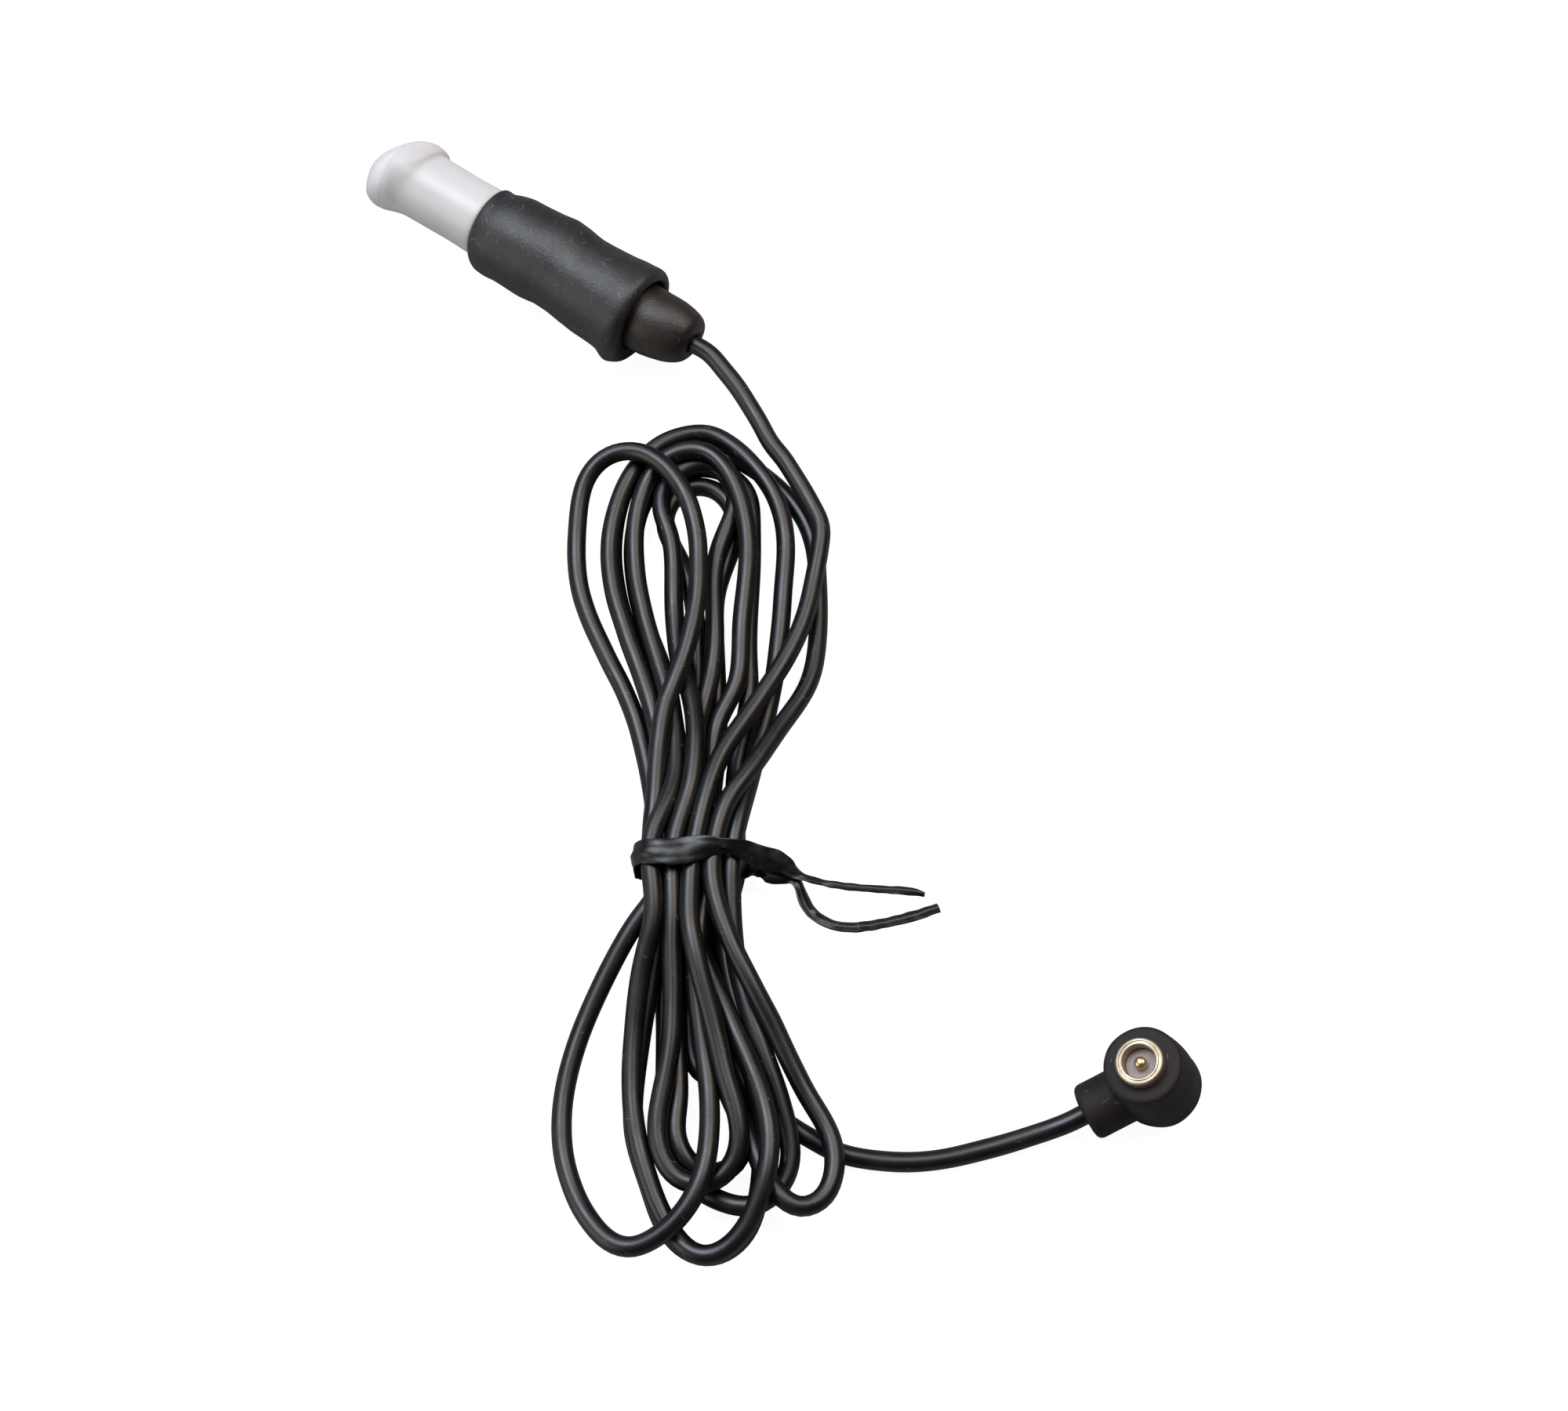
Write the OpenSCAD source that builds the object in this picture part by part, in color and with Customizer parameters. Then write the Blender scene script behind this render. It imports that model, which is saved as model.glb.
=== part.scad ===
// Camera sync and release lead: a straight coaxial socket under a push-on cap, a thin
// round cord tied up in a hank, and a right-angle coaxial plug. Millimetres, +Z up.
// The origin is on the ground under the middle of the straight socket, whose axis runs
// along X: the capped mouth looks along -X and the cord leaves along +X.

/* [Grip sleeve] */
// Length of the rubber grip sleeve
grip_l = 23.2; // [21:0.1:32]
// Diameter of the grip just behind its front shoulder
grip_front_d = 11.2; // [9.8:0.1:13]
// Diameter of the grip at its rear rim
grip_rear_d = 12.2; // [11.8:0.1:15]
// Rounding of the front shoulder, along the radius
grip_shoulder = 0.9; // [0.3:0.1:1]
// Rounding of the rear rim
grip_rim = 0.5; // [0.2:0.1:0.8]
// Wall of the grip round its open rear recess
recess_wall = 1.5; // [0.8:0.1:1.6]
// Depth of the open rear recess
recess_l = 6.2; // [3:0.1:7]

/* [Socket] */
// Outer diameter of the metal barrel
barrel_d = 7.5; // [6.5:0.1:7.6]
// Bore of the metal barrel
barrel_bore = 5.9; // [5.7:0.1:6]
// Length of the barrel that stands out of the grip
barrel_out = 12.8; // [9:0.1:14]
// Length of the barrel that the grip holds
barrel_in = 6.2; // [5:0.1:7]
// Diameter of the outer contact, the spigot that a plug ring slides over
spigot_d = 3.5; // [3.4:0.05:3.6]
// Wall of the spigot
spigot_wall = 0.4; // [0.3:0.05:0.5]
// How much slimmer the spigot's shank is than its free end
spigot_step = 0.2; // [0.1:0.05:0.25]
// Free length of the spigot in front of its bush
spigot_out = 4.5; // [3:0.1:6]
// Distance of the spigot's end behind the mouth of the barrel
spigot_recess = 1.5; // [0.5:0.1:2]
// Bore of the centre contact
contact_bore = 1.2; // [1:0.05:1.3]
// Wall of the centre contact
contact_wall = 0.3; // [0.2:0.05:0.35]
// Depth of the centre contact's bore
contact_depth = 4.5; // [3:0.1:6]
// Distance of the centre contact's end behind the spigot's end
contact_recess = 1.1; // [0.8:0.1:2]
// Diameter of the solder pins behind both centre contacts
solder_d = 0.9; // [0.7:0.05:1]
// Thickness of the ground lugs
lug_t = 0.4; // [0.3:0.05:0.5]

/* [Protective cap] */
// Wall of the cap's tube
cap_wall = 0.4; // [0.3:0.05:0.6]
// Diameter of the flared head
cap_head_d = 10.3; // [9.6:0.1:12]
// Thickness of the closed end
cap_end = 3.5; // [3.4:0.1:6]
// Length over which the tube flares into the head
cap_flare_l = 3.2; // [2:0.1:4]
// Free space between the closed end and the barrel's mouth
cap_end_space = 0.4; // [0.4:0.1:2]

/* [Strain relief] */
// Diameter of the boss that stands out of the grip
boss_d = 8.2; // [6.6:0.1:8.4]
// Diameter of the boss at its end
boss_end_d = 7.2; // [5.6:0.1:7.4]
// Length of the boss behind the grip's rear rim
boss_l = 7.2; // [5:0.1:12]
// Diameter of the flange that the grip holds
flange_d = 9.2; // [8.6:0.1:9.4]
// Length of the flange
flange_l = 4; // [2:0.1:4.5]
// Thickness of the grip's lip behind the flange
lip_l = 1; // [0.6:0.1:1.4]

/* [Cord and crimps] */
// Diameter of the cord
cord_d = 2.2; // [1.8:0.1:2.3]
// Diameter of the insulated core inside the crimps
core_d = 0.8; // [0.6:0.05:1]
// Length of each crimp ferrule
ferrule_l = 4; // [3:0.1:4.2]
// Wall of each crimp ferrule over the cord
ferrule_wall = 0.4; // [0.3:0.05:0.6]
// Length of the narrow front part of each ferrule
crimp_l = 1.7; // [1:0.1:2]

/* [Right-angle plug] */
// Diameter of the plug's front face
face_d = 8.4; // [8:0.1:10]
// Diameter of the housing at its thickest
housing_d = 9; // [8.8:0.1:11]
// Height of the front face above the rounded back
face_h = 10.85; // [10:0.05:13]
// Height of the arm's axis above the rounded back
arm_h = 5.2; // [4.6:0.05:5.2]
// Diameter of the arm
arm_d = 6.2; // [5.6:0.1:6.4]
// Reach of the arm from the plug's axis
arm_reach = 8.2; // [7.6:0.1:12]
// Radius of the rounded back
back_r = 9; // [8:0.5:14]
// Outer diameter of the metal ring
ring_d = 5.1; // [5.1:0.05:5.6]
// Bore of the metal ring
ring_bore = 3.5; // [3.4:0.05:3.6]
// How far the ring stands out of the face
ring_proud = 1.4; // [1:0.1:3]
// How much slimmer the ring's neck is than its free end
ring_step = 0.2; // [0.1:0.05:0.3]
// Depth of the white disc below the ring's rim
disc_recess = 1.5; // [0.8:0.1:2]
// Diameter of the centre pin
pin_d = 1.3; // [1:0.05:1.4]
// Distance of the pin's tip below the ring's rim
pin_recess = 0.2; // [0:0.05:0.5]
// Lean of the plug towards its arm, in degrees
plug_lean = 18; // [12:1:18]
// Roll of the plug about its arm, in degrees
plug_roll = 11; // [0:1:11]

/* [Hank] */
// Width of the bundle where the tie holds it
waist_w = 11.8; // [10:0.1:14]
// Height of the bundle where the tie holds it
waist_h = 6; // [4:0.1:6.2]
// Height of the hank's loops
hank_h = 7.6; // [5:0.1:9]
// Radius of the upper end of the hank
upper_r = 15.8; // [13:0.1:18]
// Distance from the tie to the centre of the upper end
upper_reach = 38.5; // [30:0.5:50]
// Radius of the lower end of the hank
lower_r = 15.4; // [13:0.1:18]
// Distance from the tie to the centre of the lower end
lower_reach = 29.6; // [25:0.5:40]

/* [Tie] */
// Width of the flat tie
tie_w = 2.4; // [1.8:0.1:3]
// Thickness of the flat tie
tie_t = 0.8; // [0.5:0.1:1]
// Length of the twisted part
twist_l = 5.2; // [4:0.1:7]
// Width of the two tails
tail_w = 1.2; // [0.8:0.1:1.6]

/* [Clearances] */
// Radial gap between parts that are pushed together
seat_gap = 0.05; // [0.03:0.01:0.08]
// Gap between the cap and what it is pushed over
cap_gap = 0.1; // [0.05:0.01:0.2]

/* [Hidden] */
$fn = 64;
SIDES = 8;

// Along the straight socket, x = 0 is the front face of the grip until place_socket moves it.
cap_l = cap_gap + barrel_out + cap_end_space + cap_end;
socket_l = cap_l + grip_l + boss_l;
grip_x = cap_l - socket_l / 2;
axis_z = grip_rear_d / 2;
boss_x = grip_l + boss_l;
bush_x = spigot_recess + spigot_out - barrel_out;
bush_l = barrel_in - 1.2 - bush_x;
lip_x = grip_l - recess_l - lip_l;
flange_x = lip_x - flange_l;
ferrule_x = flange_x - cap_gap - ferrule_l;
contact_d = contact_bore + 2 * contact_wall;
contact_x = spigot_recess + contact_recess - barrel_out;
spigot_bore = spigot_d - 2 * spigot_wall;
liner_l = 13;
solder_x = ferrule_x - 2.1;
ferrule_d = cord_d + 2 * seat_gap + 2 * ferrule_wall;

// Plug frame: the axis along +Z from the middle of the rounded back, the arm along +X.
rim_z = face_h + ring_proud;
disc_z = rim_z - disc_recess;
flange_z = 7.2;
flange_t = 1.8;
plug_flange_d = 6.4;
plug_cross = [114.77, -46.25];
arm_turn = -121.8;
plug_tilt_cos = cos(plug_lean) * cos(plug_roll);
cross_z = back_r - (back_r - arm_h) * plug_tilt_cos;
arm_dir = [cos(arm_turn) * cos(plug_lean), sin(arm_turn) * cos(plug_lean), -sin(plug_lean)];
plug_ferrule_x = 1.6;
plug_tab_z = arm_h + ferrule_d / 2 + seat_gap;

// Hank frame: the tie at the origin, the upper end along +Y, turned and moved into place.
hank_at = [59.6, -52.4];
hank_turn = 33.8;
upper_shift = 0.4;
lower_shift = 0.8;
waist_shift = -0.4;
groove_l = tie_w + 1.8;
waist_z = tie_t + seat_gap;
tie_slope = 5;
twist_turn = -20;
twist_d = 2.4;
twist_z = 3.2;
tail_h = 1;
tail_upper = [[11.2, -2.6], [15.6, -3.8], [20.6, -4.2], [25.8, -4.7]];
tail_lower = [[11.2, -2.6], [12.3, -4.7], [14.1, -7.1], [17.6, -8.7], [22.4, -8], [28, -6.1]];

// The cord between the straight socket and the hank, in the part's own frame.
exit_x = grip_x + boss_x;
lead_socket_route = [
  [grip_x + ferrule_x + crimp_l + 0.1, 0, axis_z],
  [exit_x, 0, axis_z],
  [25, 0.1, 6.05],
  [26.5, -0.1, 5.9],
  [28.1, -0.6, 5.7],
  [30.5, -1.4, 5.4],
  [35.2, -3.65, 5.1],
  [38.5, -5.45, 5.1],
  [40.4, -6.1, 5.2]
];
// The cord between the hank and the plug, in the part's own frame.
lead_plug_route = [
  [88.3, -71.2, 1.1],
  [90.8, -70.75, 1.1],
  [95.1, -68.9, 1.1],
  [100, -65.5, 1.1],
  [103.9, -61.45, 1.2],
  [107, -57.85, 1.6],
  arm_point(arm_reach + 2),
  arm_point(arm_reach),
  arm_point(plug_ferrule_x + crimp_l + 0.1)
];

function arm_point(reach) = [plug_cross.x, plug_cross.y, cross_z] + reach * arm_dir;
function unit(v) = v / norm(v);

// Points of a part of an ellipse about c, from angle a0 to a1.
function bow(c, rx, ry, a0, a1, n = 8) =
  [for (i = [0:n]) let (a = a0 + (a1 - a0) * i / n) [c[0] + rx * cos(a), c[1] + ry * sin(a)]];

// A closed profile for rotate_extrude, listed as [distance along the axis, radius].
function turned(points) = [for (p = points) [p[1], p[0]]];

// Ring i of a round tube that follows the route.
function ring(route, i, r) =
  let (
    last = len(route) - 1,
    t = unit(route[min(i + 1, last)] - route[max(i - 1, 0)]),
    across = unit(cross(t, [0, 0, 1])),
    rise = cross(across, t)
  )
  [for (k = [0:SIDES - 1]) let (a = 360 * k / SIDES)
    route[i] + r * (cos(a) * across + sin(a) * rise)];

// A round tube swept along the route as one closed polyhedron.
module swept_tube(route, r) {
  last = len(route) - 1;
  points = [for (i = [0:last]) each ring(route, i, r)];
  walls = [for (i = [0:last - 1], k = [0:SIDES - 1])
    let (a = i * SIDES + k, b = i * SIDES + (k + 1) % SIDES)
    each [[a, b, b + SIDES], [a, b + SIDES, a + SIDES]]];
  start = [for (k = [SIDES - 1:-1:0]) k];
  end = [for (k = [0:SIDES - 1]) last * SIDES + k];
  polyhedron(points, concat(walls, [start, end]));
}

// A flat strip of even width along plan points.
module strip(points, w) {
  last = len(points) - 1;
  dirs = [for (i = [0:last]) unit(points[min(i + 1, last)] - points[max(i - 1, 0)])];
  left = [for (i = [0:last]) points[i] + w / 2 * [-dirs[i].y, dirs[i].x]];
  right = [for (i = [last:-1:0]) points[i] - w / 2 * [-dirs[i].y, dirs[i].x]];
  polygon(concat(left, right));
}

// Turns a profile about the straight socket's axis.
module place_socket() {
  translate([grip_x, 0, axis_z]) rotate([0, 90, 0]) children();
}

// Moves a plug piece from the plug frame to where the plug lies.
module place_plug() {
  translate([plug_cross.x, plug_cross.y, cross_z])
    rotate([0, 0, arm_turn])
    rotate([0, plug_lean, 0])
    rotate([plug_roll, 0, 0])
    translate([0, 0, -arm_h])
    children();
}

// Turns a profile about the plug's arm.
module along_arm() {
  translate([0, 0, arm_h]) rotate([0, 90, 0]) children();
}

module place_hank() {
  translate([hank_at.x, hank_at.y, 0]) rotate(hank_turn) children();
}

module grip_sleeve() {
  front_r = grip_front_d / 2;
  rear_r = grip_rear_d / 2;
  bore_r = barrel_d / 2 + seat_gap;
  recess_r = rear_r - recess_wall;
  seat_r = flange_d / 2 + seat_gap;
  lip_r = boss_d / 2 + seat_gap;
  color("#2b2928") place_socket() rotate_extrude() polygon(turned(concat(
    [[0, bore_r]],
    bow([2.5 * grip_shoulder, front_r - grip_shoulder], -2.5 * grip_shoulder, grip_shoulder, 0, 90),
    bow([grip_l - grip_rim, rear_r - grip_rim], grip_rim, grip_rim, 90, 0),
    [
      [grip_l, recess_r], [lip_x + lip_l, recess_r], [lip_x + lip_l, lip_r], [lip_x, lip_r],
      [lip_x, seat_r], [flange_x - seat_gap, seat_r], [flange_x - seat_gap, bore_r]
    ]
  )));
}

module socket_barrel() {
  outer_r = barrel_d / 2;
  inner_r = barrel_bore / 2;
  lip = 0.3;
  color("#c9b99a") place_socket() rotate_extrude() polygon(turned(concat(
    [[barrel_in, inner_r], [-barrel_out + lip, inner_r], [-barrel_out, inner_r + lip]],
    bow([-barrel_out + lip, outer_r - lip], -lip, lip, 0, 90, 5),
    [[barrel_in, outer_r]]
  )));
}

module socket_bush() {
  outer_r = barrel_bore / 2 - seat_gap;
  inner_r = spigot_d / 2 - spigot_step + seat_gap;
  color("#b9a9a2") place_socket() translate([0, 0, bush_x]) difference() {
    cylinder(h = bush_l, r = outer_r);
    translate([0, 0, -1]) cylinder(h = bush_l + 2, r = inner_r);
  }
}

module socket_spigot() {
  outer_r = spigot_d / 2;
  shank_r = outer_r - spigot_step;
  inner_r = spigot_bore / 2;
  tip_x = bush_x - spigot_out;
  lip = 0.15;
  color("#d6c7a6") place_socket() rotate_extrude() polygon(turned([
    [tip_x, inner_r], [tip_x, outer_r - lip], [tip_x + lip, outer_r], [bush_x, outer_r],
    [bush_x, shank_r], [barrel_in, shank_r], [barrel_in, inner_r]
  ]));
}

module spigot_liner() {
  color("#e6e0d6") place_socket() translate([0, 0, contact_x - 0.4]) difference() {
    cylinder(h = liner_l, r = spigot_bore / 2 - seat_gap);
    translate([0, 0, -1]) cylinder(h = liner_l + 2, r = contact_d / 2 + seat_gap);
  }
}

module centre_contact() {
  outer_r = contact_d / 2;
  bore_r = contact_bore / 2;
  pin_r = solder_d / 2;
  shoulder_x = contact_x + liner_l - 1;
  color("#d9b35c") place_socket() rotate_extrude() polygon(turned([
    [contact_x, bore_r], [contact_x, outer_r], [shoulder_x, outer_r], [shoulder_x, pin_r],
    [solder_x, pin_r], [solder_x, 0], [contact_x + contact_depth, 0],
    [contact_x + contact_depth, bore_r]
  ]));
}

module socket_ground_lug() {
  washer_x = bush_x + bush_l;
  tab_l = ferrule_x + 2 - washer_x;
  tab_y = ferrule_d / 2 + seat_gap;
  color("#c4b48e") place_socket() translate([0, 0, washer_x]) difference() {
    union() {
      cylinder(h = lug_t, r = barrel_bore / 2 - 0.2);
      translate([-0.7, tab_y, 0]) cube([1.4, lug_t, tab_l]);
    }
    translate([0, 0, -1]) cylinder(h = lug_t + 2, r = spigot_d / 2 - spigot_step + seat_gap);
  }
}

// A crimp ferrule along +Z: a narrow front over the core and a wide rear over the cord.
module ferrule() {
  outer_r = ferrule_d / 2;
  cord_r = cord_d / 2 + seat_gap;
  core_r = core_d / 2 + seat_gap;
  rotate_extrude() polygon(turned([
    [0, core_r], [0, outer_r - 0.2], [0.2, outer_r], [ferrule_l, outer_r],
    [ferrule_l, cord_r], [crimp_l, cord_r], [crimp_l, core_r]
  ]));
}

module socket_ferrule() {
  color("#b8a98a") place_socket() translate([0, 0, ferrule_x]) ferrule();
}

module socket_core_wire() {
  color("#e9e4da") place_socket() translate([0, 0, solder_x])
    cylinder(h = ferrule_x + crimp_l - solder_x, r = core_d / 2);
}

module strain_relief() {
  boss_r = boss_d / 2;
  end_r = boss_end_d / 2;
  cord_r = cord_d / 2 + seat_gap;
  edge = 1.1;
  color("#1f1e1e") place_socket() rotate_extrude() polygon(turned(concat(
    [
      [flange_x, cord_r], [flange_x, flange_d / 2], [lip_x, flange_d / 2], [lip_x, boss_r],
      [grip_l, boss_r]
    ],
    bow([boss_x - edge, end_r - edge], edge, edge, 90, 0, 6),
    [[boss_x, cord_r]]
  )));
}

module protective_cap() {
  inner_r = barrel_d / 2 + cap_gap;
  tube_r = inner_r + cap_wall;
  head_r = cap_head_d / 2;
  round_r = 4.6;
  round_l = 4;
  head_x = cap_l - round_l - 0.6;
  flare_x = head_x - cap_flare_l;
  floor_x = barrel_out + cap_end_space + cap_gap;
  color("#d9d5e0", 0.75) place_socket() rotate_extrude() polygon(turned(concat(
    [[-cap_gap, inner_r], [-cap_gap, tube_r]],
    [for (i = [0:8]) let (t = i / 8)
      [-flare_x - cap_flare_l * t, tube_r + (head_r - tube_r) * t * t * (3 - 2 * t)]],
    bow([round_l - cap_l, head_r - round_r], -round_l, round_r, 90, 0),
    [[-cap_l, 0], [-floor_x, 0], [-floor_x, inner_r]]
  )));
}

module plug_housing() {
  face_r = face_d / 2;
  body_r = housing_d / 2;
  edge = 0.6;
  back_edge = 3.6;
  back_z = back_r - sqrt(back_r * back_r - back_edge * back_edge);
  chamber_r = plug_flange_d / 2 + seat_gap;
  chamber_z = plug_tab_z - seat_gap;
  wire_r = 2.2;
  wire_z = 3.2;
  stop_x = plug_ferrule_x + ferrule_l + cap_gap;
  color("#232328") place_plug() difference() {
    union() {
      rotate_extrude() polygon(concat(
        [[0, 0]],
        [for (i = [1:6]) let (r = back_edge * i / 6) [r, back_r - sqrt(back_r * back_r - r * r)]],
        bow([back_edge, back_z + 1.6], body_r - back_edge, 1.6, -60, 0, 5),
        bow([face_r - edge, face_h - edge], edge, edge, 0, 90, 5),
        [[0, face_h]]
      ));
      along_arm() rotate_extrude() polygon(turned(concat(
        [[0, 0], [0, arm_d / 2]],
        bow([arm_reach - edge, arm_d / 2 - edge], edge, edge, 90, 0, 5),
        [[arm_reach, 0]]
      )));
    }
    translate([0, 0, flange_z]) cylinder(h = face_h, r = ring_d / 2 - ring_step + seat_gap);
    translate([0, 0, chamber_z]) cylinder(h = flange_z + flange_t - chamber_z, r = chamber_r);
    translate([0, 0, wire_z]) cylinder(h = flange_z - wire_z, r = wire_r);
    along_arm() cylinder(h = stop_x, r = ferrule_d / 2 + seat_gap);
    along_arm() cylinder(h = arm_reach + 1, r = cord_d / 2 + seat_gap);
  }
}

module plug_ring() {
  outer_r = ring_d / 2;
  neck_r = outer_r - ring_step;
  inner_r = ring_bore / 2;
  lip = 0.25;
  top_z = flange_z + flange_t;
  color("#d8c8a2") place_plug() rotate_extrude() polygon(concat(
    [
      [inner_r, flange_z], [plug_flange_d / 2, flange_z], [plug_flange_d / 2, top_z],
      [neck_r, top_z], [neck_r, face_h], [outer_r, face_h]
    ],
    bow([outer_r - lip, rim_z - lip], lip, lip, 0, 90, 5),
    [
      [inner_r + 0.46, rim_z], [inner_r + 0.41, rim_z - 0.15], [inner_r + 0.33, rim_z - 0.15],
      [inner_r + 0.28, rim_z], [inner_r + 0.12, rim_z], [inner_r, rim_z - 0.12]
    ]
  ));
}

module plug_disc() {
  bottom_z = flange_z - 0.5;
  color("#b7a9ab") place_plug() translate([0, 0, bottom_z]) difference() {
    cylinder(h = disc_z - bottom_z, r = ring_bore / 2 - seat_gap);
    translate([0, 0, -1]) cylinder(h = face_h, r = solder_d / 2 + seat_gap);
  }
}

module plug_pin() {
  pin_r = pin_d / 2;
  dome = 0.45;
  tip_z = rim_z - pin_recess;
  color("#dcb552") place_plug() rotate_extrude() polygon(concat(
    [
      [0, arm_h - solder_d / 2], [solder_d / 2, arm_h - solder_d / 2], [solder_d / 2, disc_z],
      [pin_r, disc_z]
    ],
    bow([0, tip_z - dome], pin_r, dome, 0, 90, 8)
  ));
}

module plug_ground_lug() {
  lug_z = flange_z - lug_t;
  color("#c4b48e") place_plug() difference() {
    union() {
      translate([0, 0, lug_z]) cylinder(h = lug_t, r = plug_flange_d / 2 - 0.2);
      translate([1.8, -0.7, plug_tab_z]) cube([1.1, 1.4, lug_z + 0.1 - plug_tab_z]);
    }
    cylinder(h = face_h, r = ring_bore / 2 + seat_gap);
  }
}

module plug_ferrule() {
  color("#b8a98a") place_plug() along_arm() translate([0, 0, plug_ferrule_x]) ferrule();
}

module plug_core_wire() {
  start_x = solder_d / 2 + seat_gap;
  color("#e9e4da") place_plug() along_arm() translate([0, 0, start_x])
    cylinder(h = plug_ferrule_x + crimp_l - start_x, r = core_d / 2);
}

module cord_lead_socket() {
  color("#1c1c1f") swept_tube(lead_socket_route, cord_d / 2);
}

module cord_lead_plug() {
  color("#1c1c1f") swept_tube(lead_plug_route, cord_d / 2);
}

// One end of the hank: a round end whose sides run in to the waist at the origin.
module hank_end(reach, r, shift) {
  side = sign(reach);
  waist = waist_w / 2;
  translate([shift, reach]) circle(r = r);
  polygon([
    [waist_shift - waist, 0], [waist_shift + waist, 0],
    [shift + r * cos(12), reach - side * r * sin(12)],
    [shift - r * cos(12), reach - side * r * sin(12)]
  ]);
}

module cord_hank() {
  color("#1c1c1f") place_hank() union() {
    difference() {
      linear_extrude(hank_h) {
        hank_end(upper_reach, upper_r, upper_shift);
        hank_end(-lower_reach, lower_r, lower_shift);
      }
      translate([-waist_w, -groove_l / 2, -1]) cube([2 * waist_w, groove_l, hank_h + 2]);
    }
    translate([waist_shift - waist_w / 2, -groove_l / 2 - 0.5, waist_z])
      cube([waist_w, groove_l + 1, waist_h]);
  }
}

// A rectangle with rounded corners about the origin.
module rounded(w, h, r) {
  square([w, h - 2 * r], center = true);
  square([w - 2 * r, h], center = true);
  for (x = [-1, 1], y = [-1, 1])
    translate([x * (w / 2 - r), y * (h / 2 - r)]) circle(r = r);
}

module twist_tie() {
  inner_w = waist_w + 1.2;
  inner_h = waist_h + 2 * seat_gap;
  mid_z = waist_z + waist_h / 2;
  band_w = inner_w + 2 * tie_t;
  twist_x = band_w / 2 + waist_shift - 0.3;
  color("#242427") place_hank() union() {
    translate([waist_shift, 0, mid_z]) rotate([90, 0, tie_slope])
      linear_extrude(tie_w, center = true) difference() {
        rounded(band_w, inner_h + 2 * tie_t, 1.6);
        rounded(inner_w, inner_h, 0.6);
      }
    translate([twist_x, 0, twist_z]) rotate([0, 90, twist_turn])
      cylinder(h = twist_l, d = twist_d);
    translate([0, 0, twist_z - tail_h / 2]) linear_extrude(tail_h) {
      strip(tail_upper, tail_w);
      strip(tail_lower, tail_w);
    }
  }
}

grip_sleeve();
socket_barrel();
socket_bush();
socket_spigot();
spigot_liner();
centre_contact();
socket_ground_lug();
socket_ferrule();
socket_core_wire();
strain_relief();
protective_cap();
plug_housing();
plug_ring();
plug_disc();
plug_pin();
plug_ground_lug();
plug_ferrule();
plug_core_wire();
cord_lead_socket();
cord_hank();
cord_lead_plug();
twist_tie();
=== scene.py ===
import math

import bmesh
import bpy
import numpy as np
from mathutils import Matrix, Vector


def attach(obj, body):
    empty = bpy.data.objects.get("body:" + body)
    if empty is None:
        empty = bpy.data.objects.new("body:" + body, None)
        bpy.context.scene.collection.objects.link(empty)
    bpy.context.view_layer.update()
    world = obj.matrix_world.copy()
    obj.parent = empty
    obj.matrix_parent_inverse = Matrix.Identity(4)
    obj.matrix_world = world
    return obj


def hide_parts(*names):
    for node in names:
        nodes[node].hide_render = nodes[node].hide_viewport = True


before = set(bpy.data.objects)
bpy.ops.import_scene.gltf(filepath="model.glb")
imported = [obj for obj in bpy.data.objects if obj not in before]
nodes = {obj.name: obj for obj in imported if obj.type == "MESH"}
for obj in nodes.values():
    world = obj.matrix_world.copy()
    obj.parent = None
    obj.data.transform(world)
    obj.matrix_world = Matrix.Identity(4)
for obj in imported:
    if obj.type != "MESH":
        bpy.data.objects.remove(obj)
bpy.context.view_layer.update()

scene = bpy.context.scene
MM = 0.001
TAU = 2 * math.pi

# ---- Camera

CAMERA_AT = Vector((0.113743, -0.115173, 0.2514))
CAMERA_AIM = Vector((0.057239, -0.030769, 0))
LENS_MM = 54
SENSOR_MM = 36


def turn_to(place, target):
    """The turn that points a camera or lamp at its target."""
    return (Vector(target) - Vector(place)).to_track_quat("-Z", "Y").to_euler()


camera_data = bpy.data.cameras.new("camera")
camera_data.lens = LENS_MM
camera_data.sensor_width = SENSOR_MM
camera_data.clip_start = 0.01
camera = bpy.data.objects.new("camera", camera_data)
camera.location = CAMERA_AT
camera.rotation_euler = turn_to(CAMERA_AT, CAMERA_AIM)
scene.collection.objects.link(camera)
scene.camera = camera

# ---- Sizes shared with the part's source, in millimetres

CORD_D = 2.2
AXIS_Z = 6.1
GRIP_X = -6.8
GRIP_L = 23.2
BOSS_L = 7.2
EXIT_X = GRIP_X + GRIP_L + BOSS_L
FERRULE_X = 7.9
CRIMP_L = 1.7
CAP_L = 16.8
HANK_AT = np.array([59.6, -52.4, 0])
HANK_TURN = math.radians(33.8)
PLUG_LEAN = math.radians(18)
PLUG_ROLL = math.radians(11)
ARM_TURN = math.radians(-121.8)
ARM_H = 5.2
ARM_REACH = 8.2
BACK_R = 9
CROSS_H = BACK_R - (BACK_R - ARM_H) * math.cos(PLUG_LEAN) * math.cos(PLUG_ROLL)
PLUG_CROSS = np.array([114.77, -46.25, CROSS_H])
PLUG_FERRULE_X = 1.6
TIE_T = 0.8


def turn(axis, angle):
    """The matrix of a turn by angle about the x, y or z axis."""
    c, s = math.cos(angle), math.sin(angle)
    a, b = {"x": (1, 2), "y": (2, 0), "z": (0, 1)}[axis]
    m = np.eye(3)
    m[a, a] = m[b, b] = c
    m[a, b], m[b, a] = -s, s
    return m


HANK_FRAME = turn("z", HANK_TURN)
PLUG_FRAME = turn("z", ARM_TURN) @ turn("y", PLUG_LEAN) @ turn("x", PLUG_ROLL)
ARM_DIR = PLUG_FRAME[:, 0]


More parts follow.
